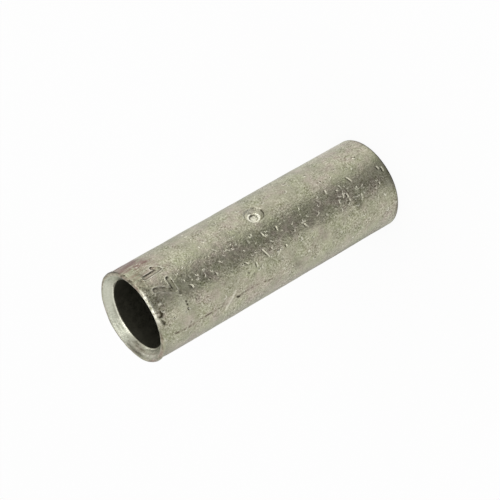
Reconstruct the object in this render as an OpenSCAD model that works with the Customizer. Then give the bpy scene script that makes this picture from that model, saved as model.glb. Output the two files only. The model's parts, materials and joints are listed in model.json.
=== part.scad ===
// Splice sleeve for a stranded conductor: one length of seamless tube, open at both ends.
// Each end has a rounded outer edge, a narrow flat land and a lead-in bevel.
// A punched dimple near mid-length leaves a stop in the bore, and draws the wall in around it.
// The sleeve stands on one end. The origin is the centre of that end, and +Z is the tube's axis.
// The dimple faces -Y.

/* [Tube] */
// Length of the sleeve
sleeve_l = 70; // [40:1:140]
// Diameter of the bore that takes the conductor
bore_d = 17; // [12:0.5:30]
// Thickness of the tube's wall
wall_t = 2.5; // [2:0.1:4]

/* [Ends] */
// Radius of the outer edge
edge_r = 0.45; // [0.1:0.05:0.8]
// Width of the flat land beside that edge
land_w = 0.3; // [0.25:0.05:0.6]
// Angle between the lead-in bevel and the axis
lead_in_a = 42; // [25:1:60]
// Radius that eases both edges of the bevel
ease_r = 0.15; // [0.05:0.05:0.3]

/* [Dimple] */
// Distance of the dimple from mid-length, towards +Z
stop_shift = 0.4; // [-1:0.1:1]
// Diameter of the dimple at the tube's surface
dimple_d = 4.8; // [4.4:0.1:6]
// Diameter of the ledge at the foot of the dimple's wall
ledge_d = 3; // [2.8:0.1:3.6]
// Depth of the ledge below the surface
ledge_depth = 1.1; // [0.6:0.05:1.2]
// Diameter of the pit that the punch's nose leaves inside the ledge
pit_d = 2; // [1.4:0.1:2]
// Depth of the pit below the ledge
pit_depth = 0.3; // [0.1:0.05:0.4]
// Radius where the dimple's wall meets the ledge
ledge_r = 0.4; // [0.1:0.05:0.5]

/* [Stop] */
// Diameter of the stop's foot, on the bore's wall
stop_d = 5.6; // [5:0.1:7]
// Diameter of the stop's crown
crown_d = 2.4; // [1.6:0.1:3]
// Radius of the crown's edge
crown_r = 0.8; // [0.2:0.1:1]
// Height of the stop above the bore's wall
stop_h = 1.1; // [0.6:0.1:1.4]
// How far the wall is drawn in beside the stop
draw_near = 0.35; // [0.3:0.05:0.5]
// How far the wall is drawn in across the bore from it
draw_far = 0.05; // [0.02:0.01:0.15]
// Length over which the wall runs back to the true bore
draw_run = 1.2; // [1:0.1:3]

/* [Hidden] */

// A circle or a cylinder with this many sides is taken as a true round one
$fn = 96;
// Turn of one step along an arc, in degrees
arc_step = 15;
// How far a cut runs past the surface that it leaves by
cut_over = 0.8;
// Draft of the pit's wall, in degrees
pit_draft = 20;

bore_r = bore_d / 2;
outer_r = bore_r + wall_t;
mouth_r = outer_r - edge_r - land_w;
lead_in_l = (mouth_r - bore_r) / tan(lead_in_a);
stop_z = sleeve_l / 2 + stop_shift;
// Length of bore between the two true stretches
throat_l = stop_d + 2 * draw_run;
// The drawn-in wall is a round bore too, a little smaller and set off from the dimple
throat_r = bore_r - (draw_near + draw_far) / 2;
throat_offset = (draw_near - draw_far) / 2;
// Pieces that join the wall from inside start halfway through it
half_wall = wall_t / 2;

tinned_copper = [0.72, 0.70, 0.64];

function unit(v) = v / norm(v);

// Points along the arc of radius r that eases corner p between its neighbours a and b
function eased(a, p, b, r) =
    let (
        u = unit(a - p),
        v = unit(b - p),
        half = acos(u * v) / 2,
        centre = p + unit(u + v) * r / sin(half),
        start = p + u * r / tan(half) - centre,
        turn = (2 * half - 180) * sign(cross(u, v)),
        steps = max(1, ceil(abs(turn) / arc_step))
    )
    [
        for (i = [0 : steps])
            let (t = turn * i / steps)
            centre + [
                start.x * cos(t) - start.y * sin(t),
                start.x * sin(t) + start.y * cos(t)
            ]
    ];

// Outline through corners, each one [x, y, radius]; a radius of 0 leaves the corner sharp
function outline(corners) =
    let (
        n = len(corners),
        at = [for (c = corners) [c.x, c.y]]
    )
    [
        for (i = [0 : n - 1])
            let (r = corners[i].z)
            each r > 0 ? eased(at[(i + n - 1) % n], at[i], at[(i + 1) % n], r) : [at[i]]
    ];

// Places a form that is turned about local z so that it points out of the tube's surface at -Y
module at_punch() {
    translate([0, -outer_r, stop_z])
        rotate([90, 0, 0])
            children();
}

// The tube's section, turned about its axis
module plain_tube() {
    rotate_extrude()
        polygon(outline([
            [bore_r, lead_in_l, ease_r],
            [mouth_r, 0, ease_r],
            [outer_r, 0, edge_r],
            [outer_r, sleeve_l, edge_r],
            [mouth_r, sleeve_l, ease_r],
            [bore_r, sleeve_l - lead_in_l, ease_r]
        ]));
}

// One end of the drawn-in wall: it opens at an even slope until it meets the true bore
module throat_cone() {
    slope = draw_near / draw_run;
    translate([0, 0, throat_l / 2 - 2 * draw_run])
        cylinder(
            h = 2 * draw_run + cut_over,
            r1 = bore_r - 2 * draw_near,
            r2 = bore_r + cut_over * slope
        );
}

// The wall that the punch draws in all round, most on the dimple's side
module drawn_in_wall() {
    translate([0, 0, stop_z])
        difference() {
            cylinder(h = throat_l + cut_over, r = bore_r + half_wall, center = true);
            translate([0, throat_offset, 0])
                cylinder(h = throat_l + 2 * cut_over, r = throat_r, center = true);
            throat_cone();
            mirror([0, 0, 1])
                throat_cone();
        }
}

// The bump that the punch raises in the bore
module stop_bump() {
    at_punch()
        rotate_extrude()
            polygon(outline([
                [0, -wall_t - stop_h, 0],
                [crown_d / 2, -wall_t - stop_h, crown_r],
                [stop_d / 2, -wall_t, 0],
                [stop_d / 2, -half_wall, 0],
                [0, -half_wall, 0]
            ]));
}

// The mark of the punch: a sloped wall, a ledge and the nose's pit
module dimple() {
    floor_depth = ledge_depth + pit_depth;
    wall_lean = (dimple_d - ledge_d) / 2 / ledge_depth;
    at_punch()
        rotate_extrude()
            polygon(outline([
                [0, -floor_depth, 0],
                [pit_d / 2 - pit_depth * tan(pit_draft), -floor_depth, 0],
                [pit_d / 2, -ledge_depth, 0],
                [ledge_d / 2, -ledge_depth, ledge_r],
                [dimple_d / 2 + cut_over * wall_lean, cut_over, 0],
                [0, cut_over, 0]
            ]));
}

module sleeve() {
    color(tinned_copper)
        difference() {
            union() {
                plain_tube();
                drawn_in_wall();
                stop_bump();
            }
            dimple();
        }
}

sleeve();
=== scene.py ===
# %% [markdown]
# # A tinned copper splice sleeve
# The real object is a short length of thick copper tube with a thin coat of tin. Two bared cable
# ends are pushed into it from either side, and a press squeezes the tube onto them. This script
# dresses the construction model of the sleeve: it adds what the hand and the punch have left on the
# metal, gives it a finish, and sets it before a camera in a plain white studio.
#
# The first cell loads the construction model as a fixed frame. Every length below is in
# millimetres and is turned into metres when an object is made.

import json
from math import atan2, cos, pi, radians, sin, sqrt

import bpy
import numpy as np
from mathutils import Matrix, Vector


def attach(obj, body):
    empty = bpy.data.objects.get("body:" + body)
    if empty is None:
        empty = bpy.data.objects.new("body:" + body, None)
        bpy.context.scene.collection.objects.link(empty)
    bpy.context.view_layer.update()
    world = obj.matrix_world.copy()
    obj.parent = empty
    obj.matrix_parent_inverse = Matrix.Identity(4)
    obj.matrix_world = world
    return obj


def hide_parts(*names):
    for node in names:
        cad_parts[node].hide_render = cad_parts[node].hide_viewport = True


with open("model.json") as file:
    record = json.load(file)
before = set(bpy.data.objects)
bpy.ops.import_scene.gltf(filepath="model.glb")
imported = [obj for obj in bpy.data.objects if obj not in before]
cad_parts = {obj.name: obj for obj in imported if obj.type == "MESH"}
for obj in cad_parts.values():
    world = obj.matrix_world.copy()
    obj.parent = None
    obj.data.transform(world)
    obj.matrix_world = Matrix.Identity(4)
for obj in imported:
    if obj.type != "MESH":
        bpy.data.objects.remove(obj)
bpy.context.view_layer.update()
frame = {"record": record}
MM = 0.001

# %% [markdown]
# ## The sizes that matter
# A splice sleeve is made to fit one conductor, so its record states the round walls that mate with
# something: the outside, and the two bores with the stop between them. Reading the sizes from there
# is safer than typing them again, because the dressed sleeve then stays the size of the real one.
# What the record doesn't state, such as the form of the punch, is repeated here in millimetres.

# %% Sizes of the sleeve
mounts = {mount["name"]: mount for mount in frame["record"]["mounts"]}


def wall_ends(name):
    """Radius of a round wall, and its lowest and highest z: middle minus and plus half its length."""
    dims = mounts[name]["dims"]
    middle = mounts[name]["pos_m"][2] / MM
    return dims["r_mm"], middle - dims["length_mm"] / 2, middle + dims["length_mm"] / 2


OUTER_R, outer_from, outer_to = wall_ends("outside")
BORE_R, top_bore_from, top_bore_to = wall_ends("bore_top")
LENGTH = outer_from + outer_to
EDGE_R = outer_from
LEAD_IN_L = LENGTH - top_bore_to
STOP_Z = (wall_ends("bore_bottom")[2] + top_bore_from) / 2
THROAT_L = 2 * (top_bore_from - STOP_Z)
LAND_W = 0.3
EASE_R = 0.15

print(f"outside r {OUTER_R}, bore r {BORE_R}, length {LENGTH:.2f}, stop at z {STOP_Z:.2f}")

# %% [markdown]
# ## The camera
# The photograph looks down at the sleeve with a long lens. The sleeve stands on its end in this
# scene, and lies across the picture in the photograph, so the camera is rolled on its side. A camera
# could be aimed by eye, but the tube's outline and its two rims fix it completely: where the centre
# of the near rim falls in the picture, how far off it is, and three angles.

# %% The camera
PHOTO = 500
FOCAL_PX = 2332
AZIMUTH = radians(-35.3)
ELEVATION = radians(28.7)
ROLL = radians(119.97)
RIM_PX = (131.2, 318.05)
RIM_DISTANCE = 510.5
SENSOR_MM = 36

back = Vector((sin(AZIMUTH) * cos(ELEVATION), -cos(AZIMUTH) * cos(ELEVATION), sin(ELEVATION)))
level_up = (Vector((0, 0, 1)) - back * back.z).normalized()
level_right = level_up.cross(back)
right = level_right * cos(ROLL) - level_up * sin(ROLL)
up = level_right * sin(ROLL) + level_up * cos(ROLL)

rim_right = (RIM_PX[0] - PHOTO / 2) / FOCAL_PX * RIM_DISTANCE
rim_up = (PHOTO / 2 - RIM_PX[1]) / FOCAL_PX * RIM_DISTANCE
eye = Vector((0, 0, LENGTH)) - right * rim_right - up * rim_up + back * RIM_DISTANCE

camera_data = bpy.data.cameras.new("camera")
camera_data.sensor_width = SENSOR_MM
camera_data.lens = FOCAL_PX / PHOTO * SENSOR_MM
camera_data.clip_start = 0.01
camera_data.clip_end = 20
camera = bpy.data.objects.new("camera", camera_data)
facing_sleeve = Matrix((right, up, back)).transposed().to_4x4()
camera.matrix_world = Matrix.Translation(eye * MM) @ facing_sleeve
bpy.context.collection.objects.link(camera)
bpy.context.scene.camera = camera

print("camera at", [round(v) for v in eye], "mm, lens", round(camera_data.lens, 1), "mm")

# %% [markdown]
# ## A grid that is fine only where it has to be
# The whole sleeve is one surface: a section of the tube wall, carried round the axis. Its grid has
# lines along the tube and lines round it. A punched digit needs lines every seventh of a millimetre,
# but the plain back of the tube doesn't, and an even grid that fine would be far too heavy. So the
# spacing is a function of the place: the lines are set where the running total of 1 / spacing
# passes whole numbers.

# %% Lines of the grid
def crowded(start, stop, spacing):
    """Values from start to stop whose steps at x are close to spacing(x)."""
    x = np.linspace(start, stop, 20001)
    density = 1 / spacing(x)
    total = np.concatenate([[0], np.cumsum((density[1:] + density[:-1]) / 2 * np.diff(x))])
    count = int(np.ceil(total[-1]))
    return np.interp(np.linspace(0, total[-1], count + 1), total, x)


def belt(x, low, high, soft):
    """1 between low and high, 0 outside, with smooth shoulders that are soft wide."""
    rise = 1 + np.tanh(2 * (x - low) / soft)
    return rise * (1 + np.tanh(2 * (high - x) / soft)) / 4


ROW_STEP = 0.215
COLUMN_STEP = 0.9


def spacing_along(z):
    """Spacing of the rows along the tube: finest at the stamp, fine at the dimple."""
    at_stamp = 0.085 * belt(z, 60.5, 70.5, 1)
    at_dimple = 0.065 * belt(z, 31.8, 39, 1)
    return ROW_STEP - np.maximum(at_stamp, at_dimple)


def spacing_round(turn):
    """Spacing of the columns in degrees: fine where the marks are, coarse on the far side."""
    camera_side = 0.58 * belt(turn, -128, 58, 8)
    marked = 0.15 * belt(turn, -66, 20, 5)
    return (COLUMN_STEP - camera_side - marked) / (radians(1) * OUTER_R)


# Angles are counted from the dimple, which faces -Y, and grow towards +X
angles = crowded(-180, 180, spacing_round)[:-1]
print(len(angles), "columns round the tube")

# %% [markdown]
# ## The section of the tube wall
# Sawn ends are turned on a lathe: the outer edge is broken with a small radius, a narrow flat land
# stays, and a bevel leads the wires into the bore. The section is a closed outline of six corners,
# each eased by an arc. The arcs get rows of their own, because a highlight on an edge shows every
# facet.

# %% The section
def unit(vector):
    """The vector divided by its length."""
    return vector / np.linalg.norm(vector)


def eased(before, corner, after, radius, steps):
    """Arc of that radius in a corner: its centre is on the bisector, radius / sin(half) away."""
    u, v = unit(before - corner), unit(after - corner)
    half = np.arccos(u @ v) / 2
    centre = corner + unit(u + v) * radius / np.sin(half)
    start = corner + u * radius / np.tan(half) - centre
    turn = (2 * half - np.pi) * np.sign(u[0] * v[1] - u[1] * v[0])
    t = turn * np.linspace(0, 1, steps + 1)
    c, s = np.cos(t), np.sin(t)
    return centre + np.stack([start[0] * c - start[1] * s, start[0] * s + start[1] * c], axis=1)


def straight(start, stop, steps):
    """Points evenly between two ends, without the ends."""
    t = np.linspace(0, 1, steps + 1)[1:-1, None]
    return start + (stop - start) * t


MOUTH_R = OUTER_R - EDGE_R - LAND_W
EASING_L = 0.06
# The bevel's own length stops short of the wall by its easing
BEVEL_L = LEAD_IN_L - EASING_L
corners = np.array([
    [OUTER_R, 0],
    [OUTER_R, LENGTH],
    [MOUTH_R, LENGTH],
    [BORE_R, LENGTH - BEVEL_L],
    [BORE_R, BEVEL_L],
    [MOUTH_R, 0],
])
radii = [EDGE_R, EDGE_R, EASE_R, EASE_R, EASE_R, EASE_R]
arc_steps = [8, 9, 4, 4, 3, 3]
arcs = [
    eased(corners[i - 1], corners[i], corners[(i + 1) % 6], radii[i], arc_steps[i])
    for i in range(6)
]

BORE_STEP = 2.5


def spacing_bore(z):
    """Spacing of the rows in the bore: close at the mouth that shows, and at the stop."""
    mouth = 1.5 * belt(z, 58, 70, 4) + 0.8 * belt(z, LENGTH - BEVEL_L - 0.5, LENGTH, 0.4)
    stop = 2.05 * belt(z, STOP_Z - 5, STOP_Z + 5, 2)
    return BORE_STEP - np.maximum(mouth, stop)


outer_z = crowded(arcs[0][-1, 1], arcs[1][0, 1], spacing_along)[1:-1]
bore_z = crowded(arcs[4][0, 1], arcs[3][-1, 1], spacing_bore)[1:-1][::-1]
runs = [
    arcs[0],
    np.stack([np.full_like(outer_z, OUTER_R), outer_z], axis=1),
    arcs[1],
    straight(arcs[1][-1], arcs[2][0], 3),
    arcs[2],
    straight(arcs[2][-1], arcs[3][0], 16),
    arcs[3],
    np.stack([np.full_like(bore_z, BORE_R), bore_z], axis=1),
    arcs[4],
    straight(arcs[4][-1], arcs[5][0], 6),
    arcs[5],
    straight(arcs[5][-1], arcs[0][0], 2),
]
section = np.concatenate(runs)
along = np.roll(section, -1, axis=0) - np.roll(section, 1, axis=0)
outward = np.stack([along[:, 1], -along[:, 0]], axis=1)
outward /= np.linalg.norm(outward, axis=1, keepdims=True)

print(len(section), "rows,", 2 * len(section) * len(angles), "triangles")

# %% [markdown]
# ## Where a point of the grid is
# Three arrays of rows by columns hold the places: the radius, the angle and the height. A mark is
# then a function of the place that says how far the surface is pushed out, and all marks add up.
# Dirt and wear, and painted shade and highlights, are masks of the same shape, which the finish
# reads later. The wall starts a hair inside its full size, because the waves that come next go both
# ways.

# %% Places on the grid
SINK = 0.01
SEED = 17
radius = np.repeat(section[:, :1], len(angles), axis=1)
height = np.repeat(section[:, 1:], len(angles), axis=1)
angle = np.repeat(angles[None, :], len(section), axis=0)
normal_r = outward[:, :1]
normal_z = outward[:, 1:]
outside = np.clip(normal_r, 0, 1) * np.ones_like(angle)
inside = np.clip(-normal_r, 0, 1) * np.ones_like(angle)
# Distance round the tube from the line through the dimple, on the outer wall
arc_mm = np.radians(angle) * OUTER_R
push = -SINK * outside
# The first mask holds dirt and painted shade; the last two hold rubbing, scrapes and painted
# highlights
grime_and_painted_shade, bare, rubbed_and_highlit, scrapes_and_highlights = (np.zeros_like(push) for _ in range(4))
rng = np.random.default_rng(SEED)


def lay_on(mask, values):
    """Raises a mask, in place, to the values wherever they are larger than it."""
    np.maximum(mask, values, out=mask)


print(push.size, "points,", int((outside > 0.99).sum()), "of them on the outer wall")

# %% [markdown]
# ## Waviness and handling marks
# Drawn tube is never quite round, and soft copper takes a mark from everything that it meets in the
# tumbling barrel. Sculpting the marks by hand would take days. Broad waves are a sum of a few dozen
# plane waves with random directions. A nick is a little hollow with a raised rim, and where another
# sleeve's edge has knocked, the metal is pushed up into a crescent on one side. All are strewn at
# random from a fixed seed, so that each run makes the same sleeve. The crescents that are too small
# for this grid are left to the finish, which reads how thickly they lie.

# %% Waves and nicks
def waves(x, y, z, shortest, longest, count):
    """Sum of cosines cos(k . p + phase) of random directions and wavelengths, scaled to about 1."""
    length = np.exp(rng.uniform(np.log(shortest), np.log(longest), count))
    k = rng.normal(size=(count, 3))
    k *= (2 * np.pi / length / np.linalg.norm(k, axis=1))[:, None]
    phase = rng.uniform(0, 2 * np.pi, count)
    total = np.zeros_like(x)
    for (kx, ky, kz), shift in zip(k, phase):
        total += np.cos(kx * x + ky * y + kz * z + shift)
    return total / np.sqrt(count / 2)


def hollow(at_arc, at_z, length, width, turn):
    """A hollow with a raised rim: -(1 - q) exp(-q), where q is the squared distance over its size."""
    x = arc_mm - at_arc
    z = height - at_z
    u = (x * np.cos(turn) + z * np.sin(turn)) / length
    v = (z * np.cos(turn) - x * np.sin(turn)) / width
    q = np.minimum(u * u + v * v, 30)
    return -(1 - q) * np.exp(-q)


def ring_at(distance, size, width):
    """exp of minus the squared difference between the distance and the size, over the width."""
    return np.exp(-(((distance - size) / width) ** 2))


def curl(at_arc, at_z, size, turn):
    """A hollow with a crescent on one side: side^3 ring_at(d, 1) - 0.7 exp(-2 d^2)."""
    x = (arc_mm - at_arc) / size
    z = (height - at_z) / size
    d = np.hypot(x, z)
    side = (1 + np.cos(np.arctan2(z, x) - turn)) / 2
    return side**3 * ring_at(d, 1, 0.34) - 0.7 * np.exp(-2 * d**2)


BROAD_WAVE = 0.014
SHORT_WAVE = 0.005
turned_angle = np.radians(angle)
base_x = radius * np.sin(turned_angle)
base_y = -radius * np.cos(turned_angle)
push += BROAD_WAVE * waves(base_x, base_y, height, 5, 16, 40)
push += SHORT_WAVE * waves(base_x, base_y, height, 1.6, 4, 60) * outside

NICKS = 420
HALF_ROUND = np.pi * OUTER_R
for _ in range(NICKS):
    depth = rng.uniform(0.01, 0.035)
    push += outside * depth * hollow(
        at_arc=rng.uniform(-HALF_ROUND, HALF_ROUND),
        at_z=rng.uniform(1, LENGTH - 1),
        length=rng.uniform(0.35, 1.1),
        width=rng.uniform(0.25, 0.4),
        turn=rng.uniform(0, np.pi),
    )

# Places where the sleeves knocked together: angle, z, spread round and along, how many, how hard
KNOCKS = [
    (-42, 12, 17, 5, 16, 1.0),
    (-38, 28, 18, 10, 22, 0.9),
    (-30, 43, 17, 7, 18, 0.9),
    (-40, 57, 14, 6, 14, 0.55),
    (-85, 30, 20, 12, 6, 1.0),
    (0, 35, 90, 34, 24, 1.0),
]
# The finish's small crescents lie thickest where there are this many knocks to a degree and a
# millimetre, and a few are strewn everywhere
CROWDED = 0.25
STRAY = 0.12
knocked = np.full_like(push, STRAY)
for mid_angle, mid_z, spread_angle, spread_z, count, force in KNOCKS:
    from_middle = np.hypot((angle - mid_angle) / spread_angle, (height - mid_z) / spread_z)
    crowding = force * min(count / (spread_angle * spread_z) / CROWDED, 1)
    lay_on(knocked, crowding * np.exp(-(from_middle**4)))
    for _ in range(count):
        depth = force * rng.uniform(0.02, 0.055)
        push += depth * outside * curl(
            at_arc=radians(rng.normal(mid_angle, spread_angle / 2)) * OUTER_R,
            at_z=np.clip(rng.normal(mid_z, spread_z / 2), 1.5, LENGTH - 1.5),
            size=rng.uniform(0.35, 0.65),
            turn=rng.uniform(0, 2 * np.pi),
        )

print(NICKS, "nicks and", sum(knock[4] for knock in KNOCKS), "knocks")

# %% [markdown]
# ## The marks that show by themselves
# Some marks are large enough to be met one by one. Each is written down where it is seen in the
# photograph, and the camera's ray through that pixel says where it lies on the tube, so the lists
# read like an inspection sheet. A line is a path through a few pixels, and its form on the metal is
# a function of the distance to that path.

# %% From a pixel to the metal
def on_sleeve(px, py):
    """Where the ray through a pixel meets the outside: mm round from the dimple, and z.

    The nearer root of |eye + t ray| = outer radius, taken across the axis.
    """
    ray = right * (px + 0.5 - PHOTO / 2) + up * (PHOTO / 2 - py - 0.5) - back * FOCAL_PX
    a = ray.x**2 + ray.y**2
    b = 2 * (eye.x * ray.x + eye.y * ray.y)
    c = eye.x**2 + eye.y**2 - OUTER_R**2
    hit = eye + ray * ((-b - sqrt(b * b - 4 * a * c)) / (2 * a))
    return atan2(hit.x, -hit.y) * OUTER_R, hit.z


def path_distance(x, y, path):
    """Distance from each point to the nearest straight piece of a path."""
    nearest = np.full_like(x, np.inf)
    for (x0, y0), (x1, y1) in zip(path[:-1], path[1:]):
        dx, dy = x1 - x0, y1 - y0
        t = np.clip(((x - x0) * dx + (y - y0) * dy) / (dx * dx + dy * dy), 0, 1)
        nearest = np.minimum(nearest, np.hypot(x - x0 - t * dx, y - y0 - t * dy))
    return nearest


def from_path(*pixels):
    """Distance in mm on the tube to a path that is read from the photograph."""
    return path_distance(arc_mm, height, [on_sleeve(*pixel) for pixel in pixels])


print("a pixel at the rim is", round(RIM_DISTANCE / FOCAL_PX, 2), "mm wide on the tube")

# %% [markdown]
# A pit is a hollow that holds dirt, a smudge is dirt alone, and a scuff is a place that rubbing has
# left pale. They could be painted on by hand, but the hollow of the nicks above gives all three: it
# pushes the metal in, and its own form says how far the dirt or the shine spreads.

# %% Pits, smudges and scuffs
# Pits: pixel, half length, half width, turn in degrees, depth, how much dirt they hold
PITS = [
    ((188.1, 308.0), 0.44, 0.38, 0, 0.12, 1.5),
    ((186.8, 303.8), 0.34, 0.32, 0, 0.08, 1.3),
    ((185.7, 300.8), 0.34, 0.32, 0, 0.08, 1.3),
    ((123.7, 275.2), 0.40, 0.30, 0, 0.15, 1.4),
    ((163.4, 322.4), 1.15, 0.55, 20, 0.12, 1.0),
    ((238.0, 296.0), 0.80, 0.27, 75, 0.10, 2.0),
    ((248.5, 272.5), 0.35, 0.30, 0, 0.05, 1.0),
    ((171.0, 290.0), 0.60, 0.35, 10, 0.05, 0.7),
    ((180.0, 291.5), 0.80, 0.55, 0, 0.04, 0.6),
    ((347.5, 201.5), 0.40, 0.30, 0, 0.06, 0.8),
    ((254.0, 273.5), 0.45, 0.35, 0, 0.06, 0.7),
]
# Smudges: pixel, half length round the tube, half width along it, how dark
SMUDGES = [
    ((358.0, 202.0), 2.40, 1.60, 0.60),
    ((296.0, 265.0), 1.60, 1.60, 0.30),
    ((206.0, 276.0), 1.60, 1.60, 0.30),
    ((222.0, 233.0), 1.60, 1.60, 0.30),
    ((291.0, 231.0), 1.90, 1.20, 0.35),
    ((250.0, 254.0), 1.20, 1.20, 0.35),
    ((214.0, 246.5), 1.30, 1.30, 0.30),
    ((324.0, 235.0), 1.50, 1.50, 0.25),
    ((351.5, 213.5), 1.30, 1.30, 0.25),
    ((371.0, 222.0), 1.30, 1.30, 0.25),
    ((311.0, 223.0), 1.40, 1.40, 0.30),
    ((142.0, 282.5), 1.50, 1.20, 0.35),
    ((149.5, 284.5), 1.10, 1.00, 0.30),
    ((170.0, 264.0), 1.40, 1.40, 0.28),
    ((160.0, 268.0), 1.20, 1.20, 0.20),
]
# Scuffs: pixel, half length round the tube, half width along it, how pale
SCUFFS = [
    ((182.0, 304.0), 2.60, 1.80, 0.14),
    ((184.0, 283.0), 1.60, 1.30, 0.10),
    ((389.0, 182.0), 1.60, 1.40, 0.14),
    ((378.0, 169.0), 1.40, 1.30, 0.12),
]
# A stain is at its full strength where the hollow is deeper than 1 / FILL of its depth
FILL = 1.6


def spot(pixel, length, width, turn=0):
    """A hollow at a pixel of the photograph, and the stain, from 0 to 1, that fills it."""
    shape = outside * hollow(*on_sleeve(*pixel), length, width, radians(turn))
    return shape, np.clip(-FILL * shape, 0, 1)


for pixel, length, width, turn, depth, dirt in PITS:
    shape, stain = spot(pixel, length, width, turn)
    push += depth * shape
    lay_on(grime_and_painted_shade, dirt * stain)
for pixel, length, width, dirt in SMUDGES:
    lay_on(grime_and_painted_shade, dirt * spot(pixel, length, width)[1])
for pixel, length, width, pale in SCUFFS:
    lay_on(scrapes_and_highlights, pale * spot(pixel, length, width)[1])

print(len(PITS), "pits,", len(SMUDGES), "smudges and", len(SCUFFS), "scuffs")

# %% [markdown]
# A hard edge that slides over soft metal ploughs a groove and turns up a ridge beside it. Such a
# stroke is too fine to sculpt, so it is two thin lines, one raised and one sunk, along paths that lie
# side by side. The ridge's paleness is a painted highlight, and the groove's dark a painted shadow.

# %% Strokes
# How bright each stroke is, and the pixels that it passes through
STROKES = [
    (1.0, (346, 177), (351, 180.5)),
    (0.9, (343, 194.5), (343, 197)),
    (1.2, (346, 193), (348, 196)),
    (0.7, (349, 198), (350, 200)),
    (0.45, (353, 197), (359, 195)),
    (0.6, (361, 193), (362, 199)),
    (1.1, (376, 166), (378, 168)),
    (1.4, (381, 166.5), (383, 170)),
    (1.3, (379, 182), (379.4, 183)),
    (1.0, (324.5, 190), (326, 193)),
    (1.0, (336, 190), (337, 190)),
    (0.5, (338, 185), (341, 188)),
    (0.3, (316, 200), (319.5, 201.5), (320, 204)),
    (0.2, (313, 209), (318, 212)),
    (0.3, (304, 215.5), (307.5, 216)),
    (1.0, (304, 223), (306, 225)),
    (0.4, (307, 225), (308, 226)),
    (0.6, (326, 213), (327, 215)),
    (1.2, (275.5, 226), (277, 229)),
    (0.9, (261, 232.5), (263, 235)),
    (0.7, (250, 234), (251, 235.5)),
    (0.5, (247, 240), (248.5, 242.5)),
    (0.5, (212, 249), (216, 250.5)),
    (0.5, (225.5, 249.5), (229, 249.8)),
    (0.35, (218, 261), (219, 261)),
    (1.0, (245, 262), (248, 263)),
    (0.8, (262, 249), (266, 252.5), (269, 255.5)),
    (0.7, (271, 247), (272, 248)),
    (0.5, (270, 240.5), (273, 241)),
    (1.8, (286, 244), (286.4, 245)),
    (0.8, (281, 247), (279, 252), (277.5, 255)),
    (0.9, (256, 262), (257, 264), (257.3, 266)),
    (0.9, (216, 272), (217, 273.5)),
    (0.9, (183.5, 279.5), (183.9, 280.5)),
    (1.1, (190, 284), (192, 284.5), (193, 286.5)),
    (0.35, (196, 274.5), (198, 275)),
    (0.3, (188, 275), (190, 277)),
    (0.6, (262, 264), (262.3, 267)),
]
STROKE_WIDTH = 0.12
STROKE_HEIGHT = 0.04
PAINTED_STROKE_HIGHLIGHT = 1.4
PAINTED_STROKE_SHADOW = 1.2
# The groove and its painted shadow lie this many pixels left of the ridge, and a little lower
GROOVE_LEFT = 1.3
GROOVE_DOWN = 0.7
for brightness, *pixels in STROKES:
    ridge = outside * ring_at(from_path(*pixels), 0, STROKE_WIDTH)
    groove_pixels = [(px - GROOVE_LEFT, py + GROOVE_DOWN) for px, py in pixels]
    groove = outside * ring_at(from_path(*groove_pixels), 0, STROKE_WIDTH) * (1 - ridge)
    push += brightness * STROKE_HEIGHT * (ridge - groove)
    # The ridge gets a painted highlight, and the groove beside it a painted shadow
    lay_on(scrapes_and_highlights, np.clip(PAINTED_STROKE_HIGHLIGHT * brightness * ridge, 0, 1))
    lay_on(grime_and_painted_shade, PAINTED_STROKE_SHADOW * brightness * groove)

print(len(STROKES), "strokes")

# %% [markdown]
# Drawing a tube leaves faint seams along it. Two of them come and go here, each a path times a row of
# random dashes. A scratch, a small ring, and a half ring of painted shade in a dent just behind the
# rim are made of the same function, exp of minus a squared distance, which has no edge of its own and
# so needs no blending.

# %% Seams, a scratch and two rings
nowhere = np.zeros_like(height)
dashes = np.clip(0.5 + 0.6 * waves(nowhere, nowhere, height, 0.9, 7, 20), 0.15, 1)
near_seam = from_path((170, 335.5), (185, 328.5), (200, 318.8), (222, 306))
far_seam = from_path((238, 296), (247, 289.5), (256, 284.5), (264, 281), (272, 278))
seam = outside * dashes * np.maximum(ring_at(near_seam, 0, 0.2), 0.8 * ring_at(far_seam, 0, 0.16))
scratch = outside * ring_at(from_path((225, 309), (230.5, 300), (235, 290.5)), 0, 0.22)
ring_arc, ring_z = on_sleeve(197, 297)
ring = outside * ring_at(np.hypot(arc_mm - ring_arc, height - ring_z), 0.45, 0.18)
push += -0.05 * seam + 0.03 * scratch - 0.04 * ring
lay_on(grime_and_painted_shade, np.maximum(0.9 * seam, 0.6 * ring))
lay_on(bare, 0.6 * seam)
lay_on(rubbed_and_highlit, 0.5 * scratch)

half_ring_arc, half_ring_z = on_sleeve(159, 314)
away_round = arc_mm - half_ring_arc
away_along = height - half_ring_z
one_side = (1 + np.cos(np.arctan2(away_along, away_round) - radians(235))) / 2
shaded_half_ring = outside * ring_at(np.hypot(away_round, away_along), 0.62, 0.34) * one_side
push -= 0.1 * shaded_half_ring
# Painted shade darkens one side of this shallow dent
lay_on(grime_and_painted_shade, 1.6 * shaded_half_ring)

print(f"so far the marks go {-push.min():.2f} mm deep and stand up {push.max():.2f} mm")

# %% [markdown]
# ## A stamped number
# Such sleeves are stamped with their size by a steel punch. Here that is a plain number, the bore in
# millimetres. Text could be cut with a boolean, but a punch doesn't cut: it presses a rounded groove
# and raises a lip on both sides. So each digit is a path of a few straight strokes, and the groove is
# a function of the distance to it.

# %% The stamped number
DIGIT_H = 4.3
DIGIT_W = 3
GROOVE_W = 0.42
GROOVE_DEPTH = 0.17
LIP_W = 0.17
LIP_H = 0.06
DIGITS = {
    "1": [(0.22, 0.74), (0.62, 1), (0.62, 0)],
    "7": [(0, 0.98), (1, 1), (0.72, 0.62), (0.45, 0.28), (0.36, 0)],
}
# Digit, angle of its middle from the dimple, z of its middle, tilt in degrees
STAMP = [("1", 0.5, 64.7, 4), ("7", -24.5, 64.75, -3)]

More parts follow.
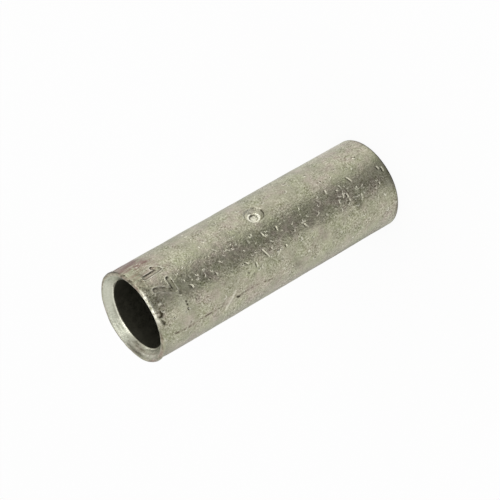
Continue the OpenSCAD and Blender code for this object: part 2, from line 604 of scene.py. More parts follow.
for digit, at_angle, at_z, tilt in STAMP:
    # The digits are read with the far end up, so both directions are turned round
    level_x = radians(at_angle) * OUTER_R - arc_mm
    level_y = at_z - height
    c, s = cos(radians(tilt)), sin(radians(tilt))
    digit_x, digit_y = level_x * c + level_y * s, level_y * c - level_x * s
    points = [((px - 0.5) * DIGIT_W, (py - 0.5) * DIGIT_H) for px, py in DIGITS[digit]]
    from_stroke = path_distance(digit_x, digit_y, points)
    groove = 1 / (1 + (from_stroke / GROOVE_W) ** 8)
    lip = ring_at(from_stroke, 1.55 * GROOVE_W, LIP_W)
    push += outside * (-GROOVE_DEPTH * groove + LIP_H * lip)
    uneven = np.clip(0.85 + 0.4 * waves(base_x, base_y, height, 0.6, 3, 30), 0.35, 1.2)
    lay_on(grime_and_painted_shade, outside * uneven * ring_at(from_stroke, GROOVE_W, LIP_W))
    lay_on(rubbed_and_highlit, 0.5 * outside * lip * uneven)

print("stamped", "".join(stamp[0] for stamp in STAMP))

# %% [markdown]
# ## The rim
# The near rim has been knocked: its edge is not one even radius, and on two sides its metal is spread
# outwards into a small burr. Behind the lower one the wall is squeezed to a shallow neck. Waves that
# act only near the rim make the edge uneven, and the bevel keeps the faint rings of the turning tool.

# %% The rim
BURR_Z = 69.1
BURR_H = 0.12
NECK_DEPTH = 0.34
TOOL_FEED = 0.5
rim_waves = waves(base_x, base_y, height, 2.5, 9, 30)
small_waves = waves(base_x, base_y, height, 0.7, 2.5, 40)
at_rim = ring_at(height, LENGTH, 0.7) * (radius > MOUTH_R - 0.3)
knocked_off = at_rim * np.clip(0.02 + 0.03 * rim_waves + 0.02 * small_waves, 0, 0.12)
push -= knocked_off
# The neck deepens towards the rim, as far as the burr that stands over it
squeezed = belt(angle, -165, -92, 14)
neck = squeezed * np.exp((height - BURR_Z) / 1.3) * belt(height, 0, BURR_Z, 0.12)
flared = squeezed + belt(angle, 38, 78, 14)
burr = flared * belt(height, BURR_Z, LENGTH + 5, 0.12) * (radius > MOUTH_R - 0.2)
push += outside * (BURR_H * burr - NECK_DEPTH * neck)
lay_on(grime_and_painted_shade, 0.25 * outside * neck)
bevel = inside * (height > LENGTH - BEVEL_L) * (radius > BORE_R + 0.05)
turning_lines = np.sin((height + 0.04 * rim_waves) * 2 * np.pi / TOOL_FEED)
push += 0.008 * bevel * turning_lines

print(f"the rim has lost up to {knocked_off.max():.2f} mm")
print(f"the neck is {NECK_DEPTH * neck.max():.2f} mm deep")

# %% [markdown]
# ## The punched dimple and the stop
# A punch driven into the tube at mid-length leaves a dimple outside and a bump inside, and the bump
# stops the wires. Both are forms turned about the punch's own axis, so they are profiles: depth as a
# function of the distance from that axis. Taking the larger of the wall and the profile cuts one
# into the other, and a soft maximum, a/2 + b/2 + sqrt((a - b)^2 + k^2)/2, rounds the edge between.

# %% The dimple and the stop
DIMPLE_R = 2.4
LEDGE_R = 1.5
LEDGE_DEPTH = 1.1
PIT_R = 1.0
PIT_DEPTH = 0.3
STOP_R = 2.8
CROWN_R = 1.2
STOP_H = 1.1
DRAW_NEAR = 0.35
DRAW_FAR = 0.05
DRAW_RUN = THROAT_L / 2 - STOP_R
# Past this distance from its axis the punch has changed nothing, so the profiles may end
PUNCH_REACH = 5.5
PROFILE_END = 6


def soft_max(a, b, k):
    """The larger of a and b, with a rounded corner about k wide where they meet."""
    return (a + b + np.sqrt((a - b) ** 2 + k * k)) / 2


def profile(distance, radii_mm, depths, blur):
    """Straight lines through (radius, depth), with the corners blurred over that width."""
    step = 0.01
    fine = np.arange(-0.5, PROFILE_END, step)
    depth = np.interp(np.abs(fine), radii_mm, depths)
    kernel = np.hanning(max(3, int(blur / step)) | 1)
    depth = np.convolve(np.pad(depth, len(kernel) // 2, "edge"), kernel / kernel.sum(), "valid")
    return np.interp(distance, fine, depth)


# The bore between the true stretches: a smaller round hole set off from the dimple
hole_shift = (DRAW_NEAR - DRAW_FAR) / 2
hole_r = BORE_R - (DRAW_NEAR + DRAW_FAR) / 2
across = hole_shift * np.sin(turned_angle)
up_to_hole = np.sqrt(hole_r**2 - across**2) - hole_shift * np.cos(turned_angle)
run_out = BORE_R - DRAW_NEAR / DRAW_RUN * (THROAT_L / 2 - np.abs(height - STOP_Z))
drawn = np.minimum(BORE_R, np.maximum(up_to_hole, run_out))
in_bore = (inside > 0.99) & (radius < BORE_R + 0.01)
radius = np.where(in_bore, drawn, radius)

place_r = radius + normal_r * push
place_x = place_r * np.sin(turned_angle)
place_y = -place_r * np.cos(turned_angle)
place_z = np.clip(height + normal_z * push, 0, LENGTH)

from_punch = np.hypot(place_x, place_z - STOP_Z)
facing = np.abs(angle) < 60
on_front = (outside > 0.99) & facing
near_punch = from_punch < PUNCH_REACH
floor_depth = LEDGE_DEPTH + PIT_DEPTH
# The slopes of both forms run on straight to the end of their profiles
past_edge = -LEDGE_DEPTH / (DIMPLE_R - LEDGE_R) * (PROFILE_END - DIMPLE_R)
past_foot = -STOP_H / (STOP_R - CROWN_R) * (PROFILE_END - STOP_R)
dimple_depth = profile(
    from_punch,
    [0, PIT_R - 0.12, PIT_R, LEDGE_R, DIMPLE_R, PROFILE_END],
    [floor_depth, floor_depth, LEDGE_DEPTH, LEDGE_DEPTH, 0, past_edge],
    blur=0.22,
)
dimple_y = soft_max(place_y, -OUTER_R + dimple_depth, k=0.12)
stop_height = profile(
    from_punch,
    [0, CROWN_R, STOP_R, PROFILE_END],
    [STOP_H, STOP_H, 0, past_foot],
    blur=0.9,
)
stop_y = soft_max(place_y, -BORE_R + stop_height, k=0.3)
place_y = np.where(on_front & near_punch, dimple_y, place_y)
place_y = np.where(in_bore & facing & near_punch, stop_y, place_y)
in_dimple = on_front & (from_punch < DIMPLE_R + 0.1)

print(f"the dimple is {OUTER_R + place_y[in_dimple].max():.2f} mm deep, the stop {STOP_H} mm high")

# %% [markdown]
# The dimple's colour holds painted shade and painted highlights: its rim, walls and pit wall are
# darker on the sides that face away from the light, and the ledge, the pit floor and the walls that
# face it are paler. A dimple this small has no room for a painted texture, but each shade and each
# highlight is a ring about the punch's axis times a sector of directions.

# %% Painted shade and highlights in the dimple
turn_at = np.degrees(np.arctan2(place_z - STOP_Z, place_x))


def around(turn, middle, reach, soft):
    """1 within reach degrees of the middle, the short way round, and 0 beyond, with a soft edge."""
    off = np.abs((turn - middle + 180) % 360 - 180)
    return belt(off, -360, reach, soft)


def sector(middle, reach, soft):
    """The part of the dimple that lies in those directions from the punch's axis."""
    return around(turn_at, middle, reach, soft)


# Painted shade: the dimple's rim, walls and pit wall darken on the sides away from the light
edge_shade = 1.2 * sector(248, 36, 22) + 1.1 * sector(-36, 14, 15) + 0.6 * sector(46, 28, 20)
shaded_dimple_edge = ring_at(from_punch, DIMPLE_R - 0.12, 0.17) * np.minimum(edge_shade, 1.2)
shaded_wall = 0.42 * belt(from_punch, LEDGE_R + 0.1, DIMPLE_R - 0.1, 0.2) * sector(-66, 42, 25)
shaded_pit_wall = ring_at(from_punch, PIT_R - 0.06, 0.15) * (0.15 + 0.75 * sector(-30, 75, 30))
grime_and_painted_shade[in_dimple] = 0
for shaded_part in (shaded_dimple_edge, shaded_wall, shaded_pit_wall):
    lay_on(grime_and_painted_shade, on_front * shaded_part)

# Painted highlights: the ledge, the pit floor and the walls facing the light turn pale
lit_ledge = belt(from_punch, PIT_R, LEDGE_R + 0.03, 0.2) * (1 - 0.85 * sector(-34, 30, 25))
lit_pit_floor = belt(from_punch, -1, PIT_R - 0.2, 0.2) * (0.45 + 0.3 * sector(142, 60, 60))
lit_left_wall = 0.6 * belt(from_punch, LEDGE_R, DIMPLE_R - 0.2, 0.3) * sector(35, 52, 30)
for brightened in (lit_ledge, lit_pit_floor, lit_left_wall, 0.15 * in_dimple):
    lay_on(rubbed_and_highlit, on_front * brightened)
lit_wall = belt(from_punch, LEDGE_R - 0.2, LEDGE_R + 0.5, 0.2) * sector(52, 34, 24)
lay_on(scrapes_and_highlights, 0.8 * on_front * lit_wall)

print(int(in_dimple.sum()), "points in the dimple")

# %% [markdown]
# ## Where the copper shows, and where it is dark
# The tin is worn through beside the number, where the sleeve was held in the punch's nest, and the
# bore is untinned and dull, with painted shade that darkens it further. A mask that follows the
# surface is best kept on the mesh: an attribute holds one number for each vertex, and the material
# reads it by name. Random waves make the edges of a mask ragged, as wear is.

# %% Masks of the wall and its edges
patch = waves(base_x, base_y, height, 1.2, 5, 40)
streaks = waves(base_x, base_y, height * 0.12, 0.5, 2, 40)
stained = np.clip(0.5 + 0.5 * patch, 0, 1)
near_half = height > LENGTH / 2
ragged = angle + 3 * patch
worn_patch = outside * belt(ragged, 19, 80, 4) * belt(height + 0.4 * patch, 63.4, 69.6, 0.6)
lay_on(bare, np.clip(worn_patch * (0.85 + 0.35 * streaks), 0, 1))
lay_on(grime_and_painted_shade, 0.3 * worn_patch * np.clip(streaks, 0, 1))
handled = belt(angle, -10, 40, 10) * belt(height, 62, 69.7, 2)
lay_on(bare, outside * handled * np.clip(0.22 + 0.2 * streaks, 0, 0.5))
# The edges of both ends are rubbed through too, except where the near one has its painted highlight
on_edge = ring_at(np.minimum(height, LENGTH - height), 0, 0.3) * (radius > MOUTH_R + 0.1)
glint = belt(angle, -56, -14, 8) * near_half
lay_on(bare, on_edge * np.clip(0.15 + 0.3 * rim_waves, 0, 1) * (1 - glint))
lay_on(grime_and_painted_shade, 0.5 * on_edge * np.clip(0.4 + 0.6 * small_waves, 0, 1) * (1 - glint))
# Near the number the flat land and the broken edge are dirty
dirty_land = belt(angle, -9, 26, 8) * (height > LENGTH - 0.5) * (radius > MOUTH_R - 0.1)
lay_on(grime_and_painted_shade, dirty_land * np.clip(0.4 + 0.3 * small_waves, 0, 0.8))
# Between the digits and the rim the wall is stained
stained_arc = 0.7 * belt(angle, -26, 6, 6) + 0.2 * belt(angle, -46, -26, 6)
lay_on(grime_and_painted_shade, outside * stained_arc * belt(height, 66.6, 69.6, 0.8) * stained)
dark_outline = ring_at(height, LENGTH - 0.32, 0.3) * (radius > OUTER_R - 0.35) * outside
lay_on(grime_and_painted_shade, 1.1 * dark_outline * belt(angle, 26, 90, 14))
# Painted shade: the far end's edge is dark on one side, in a line less than half a millimetre wide
foot_shade = outside * ring_at(height, 0.75, 0.22) * belt(angle, -96, -36, 8)
lay_on(grime_and_painted_shade, 0.5 * foot_shade)

print("copper shows at", int((bare > 0.3).sum()), "points")

# %% [markdown]
# ## The bevel and the bore
# The bevel is the palest part, because a lathe tool cut it clean. But the tool wandered: it left
# streaks all round, and some rings on the low side, which hold dirt, show copper or carry a painted
# highlight. Painted shade darkens the low side of the bevel, and a painted highlight brightens one
# side. A turned face is round by nature, so radius and angle alone say where such a ring lies. The
# bore past the bevel is dark dull metal, darkened further as painted shade, and the line where it
# begins gets a painted highlight.

# %% Masks of the bevel and the bore
# Painted shade darkens the low side of the bevel, and a painted highlight brightens another side
shaded_low_side = belt(np.abs(angle + 125), -360, 55, 20)
lit_side = belt(angle, 72, 118, 8)
shaded_bevel = bevel * around(angle, -160, 38, 25)
lay_on(grime_and_painted_shade, shaded_bevel * (0.16 + 0.24 * stained))
bevel_streaks = waves(arc_mm * 0.15, radius, height, 0.4, 1.6, 40)
lay_on(grime_and_painted_shade, bevel * 0.26 * np.clip(bevel_streaks, 0, 1.5) * (1 - 0.8 * lit_side))
# Rings: radius, width, angle of the middle, reach to both sides; dirt, copper and painted highlight
RINGS = [
    (8.76, 0.10, -158, 6, 0, 0, 1.2),
    (8.90, 0.15, -176, 8, 1.4, 0.1, 0),
    (8.64, 0.10, -146, 16, 0, 0, 1.4),
    (8.88, 0.10, -137, 17, 1.5, 0, 0),
    (9.25, 0.25, -172, 15, 0.9, 0.5, 0),
    (9.45, 0.12, -140, 22, 0.15, 0.55, 0),
    (9.72, 0.15, -144, 18, 0, 0, 1.2),
    (9.95, 0.24, -173, 16, 1.5, 0, 0),
    (10.32, 0.20, -154, 20, 1.2, 0, 0),
    (9.40, 0.65, 178, 13, 0.8, 0.35, 0),
    (8.76, 0.16, 178, 7, 1.2, 0.2, 0),
    (9.25, 0.50, 134, 9, 0.45, 0, 0),
    (8.95, 0.18, 128, 18, 0.5, 0.2, 0),
    (8.80, 0.14, 160, 12, 0, 0, 0.6),
    (9.64, 0.18, -171, 11, 0.7, 0.2, 0),
    (8.56, 0.14, 180, 8, 0.8, 0, 0),
    (9.50, 0.80, -176, 13, 0.62, 0.35, 0),
]
ring_highlight = np.zeros_like(push)
for ring_r, width, middle, reach, dirt, copper, highlight in RINGS:
    ring_shape = inside * ring_at(radius, ring_r, width) * around(angle, middle, reach, 12)
    ring_shape = ring_shape * np.clip(0.8 + 0.4 * small_waves, 0, 1) * near_half
    lay_on(grime_and_painted_shade, dirt * ring_shape)
    lay_on(bare, copper * ring_shape)
    lay_on(ring_highlight, highlight * ring_shape)
# On the low left the margin of the bevel is dark, and its outer edge is dirty nearly all round
dark_margin = ring_at(radius, 10.0, 0.36) * around(angle, -169, 14, 8)
lay_on(grime_and_painted_shade, 0.8 * dark_margin * (height > LENGTH - BEVEL_L))
bevel_rim = inside * bevel * ring_at(radius, MOUTH_R, 0.2) * (1 - 0.7 * belt(angle, -52, -28, 6))
lay_on(grime_and_painted_shade, 0.5 * bevel_rim * np.clip(0.8 + 0.5 * small_waves, 0, 1))
# The bevel was turned a little off centre, so the dark of the bore begins later on the left
wobble = 0.05 * np.cos(turned_angle + radians(150))
dark_bore_from = BORE_R + 0.05 - wobble + 0.06 * belt(angle, 60, 138, 12)
dark_bore = inside * (radius < dark_bore_from)
# The pale cut metal of the bevel, with painted shade on its low side
turned = bevel * (1 - dark_bore) * (1 - 0.55 * shaded_low_side) * (0.9 + 0.1 * turning_lines)
# A painted highlight along the line where the bore begins, weaker on one side
burnish_and_highlights = ring_at(radius, BORE_R + 0.15, 0.12) * near_half * inside
burnish_and_highlights *= 1 - 0.8 * around(angle, -155, 35, 15)
# A painted highlight along the near rim's edge
rim_highlight = glint * np.exp(-(((height - LENGTH) / 0.65) ** 4)) * (radius > MOUTH_R - 0.1)
lay_on(burnish_and_highlights, rim_highlight * np.clip(0.6 + 0.8 * small_waves, 0.05, 1))
# The rings' painted highlights, the lit side's highlight and the rubbed places turn pale
for brightened in (ring_highlight, 0.16 * bevel * lit_side, rubbed_and_highlit):
    lay_on(burnish_and_highlights, brightened)

print(len(RINGS), "rings on the bevel, dirt at", int((grime_and_painted_shade > 0.3).sum()), "points in all")

# %% [markdown]
# ## The mesh
# The skin of a tube is a ring carried round a ring, so the grid closes on itself both ways and needs
# no cap and no seam. The arrays go into the mesh whole, which is far quicker than one vertex at a
# time, and each mask goes in as an attribute.

# %% The mesh of the sleeve
def store(mesh, name, values):
    """Keeps one number for each vertex on the mesh, under a name that a material can read."""
    layer = mesh.attributes.new(name, "FLOAT", "POINT")
    layer.data.foreach_set("value", np.ascontiguousarray(values, dtype=np.float32).ravel())


def closed_grid(name, x, y, z):
    """Mesh of a grid that closes on itself both ways: each face joins (i, j) to (i + 1, j + 1)."""
    rows, columns = x.shape
    numbers = np.arange(rows * columns).reshape(rows, columns)
    below = np.roll(numbers, -1, axis=0)
    faces = np.stack(
        [numbers, np.roll(numbers, -1, axis=1), np.roll(below, -1, axis=1), below], axis=-1
    ).reshape(-1, 4)
    mesh = bpy.data.meshes.new(name)
    mesh.vertices.add(rows * columns)
    places = np.stack([x, y, z], axis=-1).reshape(-1, 3) * MM
    mesh.vertices.foreach_set("co", places.astype(np.float32).ravel())
    mesh.loops.add(faces.size)
    mesh.loops.foreach_set("vertex_index", faces.astype(np.int32).ravel())
    mesh.polygons.add(len(faces))
    mesh.polygons.foreach_set("loop_start", np.arange(0, faces.size, 4, dtype=np.int32))
    mesh.polygons.foreach_set("use_smooth", np.ones(len(faces), dtype=bool))
    mesh.update(calc_edges=True)
    mesh.validate()
    return mesh


clear_of_punch = np.clip(from_punch - DIMPLE_R - 0.3, 0, 1) * facing + ~facing
clear_of_stamp = 1 - belt(angle, -38, 16, 5) * belt(height, 61, 75, 1.5)
masks = {
    "grime_and_painted_shade": grime_and_painted_shade,
    "bare": bare,
    "dark_bore": dark_bore,
    "burnish_and_highlights": burnish_and_highlights,
    "scrapes_and_highlights": scrapes_and_highlights,
    "turned": turned,
    "knocked": knocked * outside * clear_of_punch * clear_of_stamp,
}
sleeve_mesh = closed_grid("splice_sleeve", place_x, place_y, place_z)
for name, values in masks.items():
    store(sleeve_mesh, name, values)
sleeve = bpy.data.objects.new("splice_sleeve", sleeve_mesh)
bpy.context.collection.objects.link(sleeve)

print(len(sleeve_mesh.vertices), "vertices,", 2 * len(sleeve_mesh.polygons), "triangles")

# %% [markdown]
# ## Shader maths that reads as maths
# A material is a graph of nodes, and a formula in it soon takes a page. This small class wraps the
# output of a node, so that plus, minus and times on it add the Math nodes by themselves.
# Every other kind of node comes from one method.

# %% Wires
class Wire:
    """The output socket of a node. Arithmetic on wires and numbers adds Math nodes."""

    tree = None

    def __init__(self, socket):
        self.socket = socket

    @classmethod
    def node(cls, kind, inputs=None, out=0, **settings):
        """Adds a node: its settings first, then values or wires for its inputs, by name or number."""
        made = cls.tree.nodes.new("ShaderNode" + kind)
        for key, value in settings.items():
            setattr(made, key, value)
        for key, value in (inputs or {}).items():
            if isinstance(value, Wire):
                cls.tree.links.new(value.socket, made.inputs[key])
            else:
                made.inputs[key].default_value = value
        return cls(made.outputs[out]) if made.outputs else None

    def beside(self, out):
        """Another output of the same node."""
        return Wire(self.socket.node.outputs[out])

    def maths(self, operation, first, second):
        """One Math node on two values."""
        return Wire.node("Math", {0: first, 1: second}, operation=operation)

    def __add__(self, other):
        return self.maths("ADD", self, other)

    __radd__ = __add__

    def __mul__(self, other):
        return self.maths("MULTIPLY", self, other)

    __rmul__ = __mul__

    def __sub__(self, other):
        return self.maths("SUBTRACT", self, other)

    def __rsub__(self, other):
        return self.maths("SUBTRACT", other, self)


def smooth(value, low, high, start=0.0, stop=1.0):
    """Goes smoothly from start to stop as value goes from low to high."""
    ends = {"From Min": low, "From Max": high, "To Min": start, "To Max": stop}
    return Wire.node("MapRange", {"Value": value, **ends}, interpolation_type="SMOOTHSTEP")


def blend(factor, first, second):
    """Colour from first, at factor 0, to second, at 1: the Mix node's sockets 6, 7 and 2."""
    return Wire.node("Mix", {0: factor, 6: first, 7: second}, out=2, data_type="RGBA")


def attribute(name):
    """A number kept on the mesh: the attribute node gives it as its third output."""
    return Wire.node("Attribute", out=2, attribute_name=name)


def noise(place, per_mm, detail=2.0, roughness=0.5, distortion=0.0):
    """Cloudy pattern between 0 and 1, with about per_mm features to a millimetre."""
    amounts = {"Scale": per_mm, "Detail": detail, "Roughness": roughness, "Distortion": distortion}
    return Wire.node("TexNoise", {"Vector": place, **amounts})


def vector_maths(operation, first, second=None, out=0):
    """One Vector Math node; out 1 is the number that a length or a dot product gives."""
    inputs = {0: first}
    if second is not None:
        inputs[3 if operation == "SCALE" else 1] = second
    return Wire.node("VectorMath", inputs, out, operation=operation)


def crescents(place, per_mm, size, width, share):
    """Small crescents round random points: how much of a raised crest, and of the hollow inside it.

    Round the nearest random point, the crest is where the distance is close to size and the direction
    is close to a random one; the hollow is inside that. Only the points whose own random number is
    below share have one.
    """
    point = Wire.node("TexVoronoi", {"Vector": place, "Scale": per_mm}, out="Position")
    chance = Wire.node("TexWhiteNoise", {"Vector": point})
    chosen = smooth(share - chance, 0, 0.02)
    from_point = vector_maths("SUBTRACT", place, point)
    distance = vector_maths("LENGTH", from_point, out=1)
    lean = vector_maths("SUBTRACT", chance.beside("Color"), (0.5, 0.5, 0.5))
    directions = [vector_maths("NORMALIZE", vector) for vector in (from_point, lean)]
    same_way = vector_maths("DOT_PRODUCT", *directions, out=1)
    off_crest = Wire.node("Math", {0: distance - size}, operation="ABSOLUTE")
    raised = smooth(off_crest, 0, width, 1, 0) * smooth(same_way, 0.2, 0.7) * chosen
    sunk = smooth(distance, 0.2 * size, size, 1, 0) * smooth(same_way, -0.2, 0.5) * chosen
    return raised, sunk


def start_tree(owner):
    """Empties the nodes of a material or a world, and makes it the one that new wires go into."""
    owner.use_nodes = True
    Wire.tree = owner.node_tree
    Wire.tree.nodes.clear()


patterns = (smooth, blend, attribute, noise, vector_maths, crescents)
print("ready to wire:", ", ".join(helper.__name__ for helper in patterns))

# %% [markdown]
# ## The finish: satin tin over copper
# Tin goes on bright and soon turns a soft grey with a touch of yellow. The finish is a rough metal,
# because that alone gives both the broad dull reflections and the pale edges, where every metal
# reflects like a mirror. Clouds of two tints break up the colour. The orange peel of the coat and
# the smallest knocks are bump, and the marks that show from a step away are already in the mesh.

# %% The finish
TIN = (0.40, 0.388, 0.288, 1)
TIN_GREEN = (0.38, 0.382, 0.264, 1)
TIN_PINK = (0.427, 0.384, 0.311, 1)
COPPER = (0.245, 0.15, 0.125, 1)
# Dark colour of grime, also used for painted shade
GRIME_AND_SHADE = (0.052, 0.045, 0.027, 1)
# A fine stain changes the colour by this much, so that it is lighter or darker but no yellower
FINE_STAIN = (0.38, 0.375, 0.325)
# The bore's dull metal, darkened further as painted shade
DULL_SHADED_BORE = (0.13, 0.126, 0.097, 1)
TURNED = (0.56, 0.58, 0.49, 1)
# Pale colour of burnished metal, also used for painted highlights
BURNISH_AND_HIGHLIGHT = (0.93, 0.91, 0.77, 1)
# Roughness of the coat where it is smoothest and where it is dullest
SATIN = (0.28, 0.42)
PEEL_H = 0.09
GRAIN_H = 0.10
CREST_H = 0.07
HOLLOW_H = 0.06

finish = bpy.data.materials.new("satin_tin_on_copper")
start_tree(finish)
in_mm = vector_maths("SCALE", Wire.node("TexCoord", out="Object"), 1 / MM)

clouds = noise(in_mm, 0.24, detail=1.5)
colour = blend(smooth(clouds, 0.35, 0.65), TIN_GREEN, TIN_PINK)
colour = blend(smooth(noise(in_mm, 0.7, detail=1), 0.3, 0.75), colour, TIN)
colour = blend(attribute("turned"), colour, TURNED)
# Stains of every size, from 3 mm down to a tenth of one
stains = noise(in_mm, 0.3, roughness=0.7)
fine_stains = noise(in_mm, 2.5, roughness=0.8)
calm = 1 - attribute("turned") * 0.8
patchy = smooth(noise(in_mm, 0.2), 0.38, 0.62, start=0.45, stop=1.25)
shade = 1 + (stains - 0.5) * 0.7 * calm
colour = vector_maths("SCALE", colour, shade)
fine_shade = (fine_stains - 0.5) * patchy * 2.6 * calm
colour = vector_maths("ADD", colour, vector_maths("SCALE", FINE_STAIN, fine_shade))
specks = smooth(noise(in_mm, 1.2, detail=3, roughness=0.7), 0.62, 0.74)
colour = blend(specks * 0.25, colour, GRIME_AND_SHADE)
colour = blend(attribute("bare"), colour, COPPER)
# Burnish, scrapes and rubbing turn pale, and so do the painted highlights
colour = blend(attribute("burnish_and_highlights") + attribute("scrapes_and_highlights"), colour, BURNISH_AND_HIGHLIGHT)
# Grime darkens the colour, and so does painted shade
uneven_dirt_and_shade = attribute("grime_and_painted_shade") * smooth(noise(in_mm, 3), 0.2, 0.6, start=0.6)
colour = blend(uneven_dirt_and_shade, colour, GRIME_AND_SHADE)
# Inside the bore the colour is dull metal and painted shade
colour = blend(attribute("dark_bore"), colour, DULL_SHADED_BORE)

handled_coat = noise(in_mm, 0.9, detail=3, roughness=0.6)
roughness = smooth(handled_coat, 0.25, 0.75, start=SATIN[0], stop=SATIN[1])
roughness = roughness + attribute("dark_bore") * 0.2 - attribute("burnish_and_highlights") * 0.1
# Scraped metal is rough, so it shows the light of the whole room and stays pale in the dark band
roughness = roughness + attribute("scrapes_and_highlights") * 0.55

peel = noise(in_mm, 0.85, distortion=0.6)
grain = noise(in_mm, 2.4, roughness=0.6)
moved = vector_maths("ADD", in_mm, (31, 0, 0))
large_crest, large_hollow = crescents(
    in_mm, per_mm=0.75, size=0.58, width=0.18, share=attribute("knocked") * 0.6
)
small_crest, small_hollow = crescents(
    moved, per_mm=1.1, size=0.38, width=0.15, share=attribute("knocked") * 0.5
)
crests = large_crest + small_crest
hollows = large_hollow + small_hollow
# The crescents' hollows get painted shade, and their crests a painted highlight
colour = blend(hollows * 0.5, colour, GRIME_AND_SHADE)
colour = blend(crests * 0.6, colour, BURNISH_AND_HIGHLIGHT)
# The heights of the bump are in millimetres, and its distance makes them metres
relief = peel * PEEL_H + grain * GRAIN_H + crests * CREST_H - hollows * HOLLOW_H
height_map = relief * (1 - attribute("dark_bore"))
normal = Wire.node("Bump", {"Strength": 1.0, "Distance": MM, "Height": height_map})

looks = {"Base Color": colour, "Metallic": 1.0, "Roughness": roughness, "Normal": normal}
metal = Wire.node("BsdfPrincipled", looks)
Wire.node("OutputMaterial", {"Surface": metal})
sleeve_mesh.materials.append(finish)

print(len(finish.node_tree.nodes), "nodes in the finish")

# %% [markdown]
# ## The studio
# Metal has hardly any colour of its own: it shows the room. The photograph was taken on a white
# table in a white room, and the dark band along the tube is the dark place where the camera stood.
# The table is made as two sheets. The lower one is the white floor. It shows an even white to the
# camera and to reflections, and keeps a tenth of plain matt paper, so that the shadow stays.

# %% The floor
FLOOR_SIZE = 4000
FLOOR_WHITE = 0.9
EVEN_SHARE = 0.9
# Both sheets lie a hair below the sleeve's foot, and apart
FLOOR_Z = -0.02
DISC_Z = -0.01
SEEN_RAYS = ("Is Camera Ray", "Is Glossy Ray", "Is Transmission Ray")


def flat_sheet(name, places_mm, faces, z):
    """A flat piece of the studio through those places, facing up."""
    mesh = bpy.data.meshes.new(name)
    mesh.from_pydata([(x * MM, y * MM, z * MM) for x, y in places_mm], [], faces)
    sheet = bpy.data.objects.new(name, mesh)
    bpy.context.collection.objects.link(sheet)
    return sheet


def seen():
    """1 for a ray from the camera, or one that metal or glass sends on, and 0 for any other."""
    rays = [Wire.node("LightPath", out=ray) for ray in SEEN_RAYS]
    return rays[0] + rays[1] + rays[2]


half = FLOOR_SIZE / 2
floor_corners = [(-half, -half), (half, -half), (half, half), (-half, half)]
floor = flat_sheet("floor", floor_corners, [(0, 1, 2, 3)], FLOOR_Z)
paper = bpy.data.materials.new("white_paper")
start_tree(paper)
WHITE = (1, 1, 1, 1)
matt = Wire.node("BsdfDiffuse", {"Color": (FLOOR_WHITE, FLOOR_WHITE, FLOOR_WHITE, 1)})
even = Wire.node("Emission", {"Color": WHITE, "Strength": 1.0})
surface = Wire.node("MixShader", {0: seen() * EVEN_SHARE, 1: matt, 2: even})
Wire.node("OutputMaterial", {"Surface": surface})
floor.data.materials.append(paper)

print("floor", FLOOR_SIZE / 1000, "m wide, white", FLOOR_WHITE)

# %% [markdown]
# The upper sheet is a disc that only reflections see. A strip of dark card in front of the sleeve
# would give the dark band too, but with hard edges. The brightness of the disc is a formula of the
# direction from the sleeve instead: a dark strip with soft edges towards the camera, a brighter side
# on the right, and a duller one behind. The higher a place on the sleeve, the farther out it looks.

# %% What the metal sees on the floor
DISC_FROM = OUTER_R - 1
DISC_WIDTH = 1500
# A belt that ends here has no far edge on the disc
FAR = 2 * DISC_WIDTH


def tone_of_floor(turn, away):
    """Brightness for a turn in degrees from the camera's direction, and a distance in mm."""
    clear = away - OUTER_R
    near_foot = np.exp(-clear / 25)
    high_up = belt(away, 45, FAR, 40)
    dark_from = -19 - 14 * near_foot + 13 * np.exp(-clear / 7) - 2 * high_up
    dark_to = 32 - 12 * near_foot + 0.1 * np.minimum(away, 130) - 3 * high_up
    dark = belt(turn, dark_from, dark_to, 9)
    bright = belt(turn, 55, 135, 25)
    behind = belt(np.abs(turn), 135, 260, 30) * (1 - 0.3 * (turn > 0) * belt(away, 55, FAR, 20))
    low_to = -155 + 65 * np.exp(-clear / 20)
    low_edge = belt(turn, -260, low_to, 14) * (1 + 0.8 * ring_at(away, OUTER_R, 50))
    high_edge = belt(turn, 160, 260, 14) * (0.4 - 0.3 * belt(away, 55, FAR, 20))
    patch_of_light = belt(turn, 25, 75, 12) * belt(away, 200, FAR, 60)
    tone = 0.97 - (0.6 + 0.07 * high_up) * dark + 0.08 * bright + 0.45 * patch_of_light
    # Left of the strip the floor is a little brighter, and past that a little duller
    tone += 0.2 * high_up * belt(turn, -42, -29, 6) + 0.1 * (1 - high_up) * belt(turn, -36, -26, 5)
    tone -= 0.06 * (0.4 + 0.6 * high_up) * belt(turn, -60, -44, 5)
    tone -= 0.33 * behind + 0.35 * (low_edge + high_edge)
    # Painted contact shadow: the reflected floor darkens close to the sleeve's foot
    painted_contact_shadow = np.exp(-np.maximum(clear, 0) / 0.35)
    return tone * (1 - 0.9 * painted_contact_shadow)


def floor_disc(name, inner, width):
    """A flat ring of faces, finer near the sleeve, that keeps its brightness on its vertices."""
    rings = inner + np.geomspace(0.3, width, 60)
    turns = np.radians(np.arange(0, 360, 3))
    r, t = np.meshgrid(rings, turns, indexing="ij")
    places = np.stack([r * np.sin(t + AZIMUTH), -r * np.cos(t + AZIMUTH)], axis=-1).reshape(-1, 2)
    numbers = np.arange(r.size).reshape(r.shape)
    right_of = np.roll(numbers, -1, axis=1)
    faces = np.stack([numbers[:-1], numbers[1:], right_of[1:], right_of[:-1]], axis=-1)
    sheet = flat_sheet(name, places.tolist(), faces.reshape(-1, 4).tolist(), DISC_Z)
    turn = (np.degrees(t) + 180) % 360 - 180
    store(sheet.data, "tone", tone_of_floor(turn, r))
    return sheet


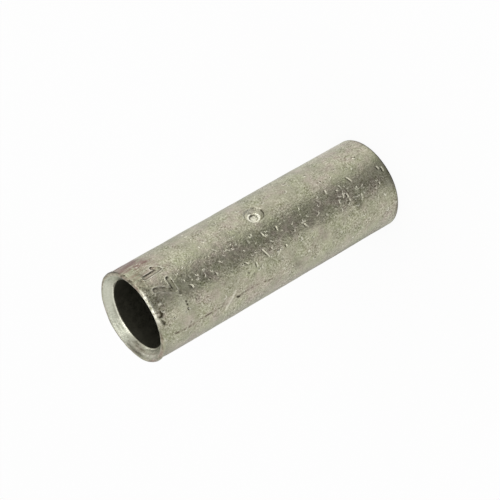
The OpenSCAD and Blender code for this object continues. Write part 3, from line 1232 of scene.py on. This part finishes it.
disc = floor_disc("reflected_floor", DISC_FROM, DISC_WIDTH)
for ray in ("camera", "diffuse", "shadow", "transmission", "volume_scatter"):
    setattr(disc, "visible_" + ray, False)
reflected = bpy.data.materials.new("reflected_floor")
start_tree(reflected)
tone = attribute("tone")
grey = Wire.node("CombineColor", {0: tone, 1: tone, 2: tone})
glow = Wire.node("Emission", {"Color": grey, "Strength": 1.0})
Wire.node("OutputMaterial", {"Surface": glow})
disc.data.materials.append(reflected)

print("disc of", len(disc.data.polygons), "faces, for reflections alone")

# %% [markdown]
# The room is an even white light. Two soft lamps stand in it: a high one that makes the edge of the
# rim shine, and one near the floor that catches the nicks and the dimple.

# %% The light
ROOM_LIGHT = 0.9
world = bpy.data.worlds.new("white_room")
bpy.context.scene.world = world
start_tree(world)
strength = ROOM_LIGHT + (1 - ROOM_LIGHT) * seen()
sky = Wire.node("Background", {"Color": WHITE, "Strength": strength})
Wire.node("OutputWorld", {"Surface": sky})


def soft_lamp(name, azimuth, elevation, distance, size, brightness):
    """A square lamp facing the sleeve; its power is pi times its area times its brightness."""
    a, e = radians(azimuth), radians(elevation)
    towards = Vector((sin(a) * cos(e), -cos(a) * cos(e), sin(e)))
    data = bpy.data.lights.new(name, "AREA")
    data.shape = "SQUARE"
    data.size = size * MM
    data.energy = pi * data.size**2 * brightness
    lamp = bpy.data.objects.new(name, data)
    lamp.location = (towards * distance + Vector((0, 0, LENGTH / 2))) * MM
    lamp.rotation_mode = "QUATERNION"
    lamp.rotation_quaternion = towards.to_track_quat("Z", "Y")
    bpy.context.collection.objects.link(lamp)
    print(name, round(data.energy, 2), "W")


soft_lamp("high_lamp", azimuth=-22, elevation=57, distance=800, size=260, brightness=2.2)
soft_lamp("front_lamp", azimuth=12, elevation=8, distance=800, size=240, brightness=5)

# Standard shows each colour as it is written
bpy.context.scene.view_settings.view_transform = "Standard"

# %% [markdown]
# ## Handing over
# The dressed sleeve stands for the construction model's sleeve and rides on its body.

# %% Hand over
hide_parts("sleeve")
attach(sleeve, "root")

bpy.context.view_layer.update()
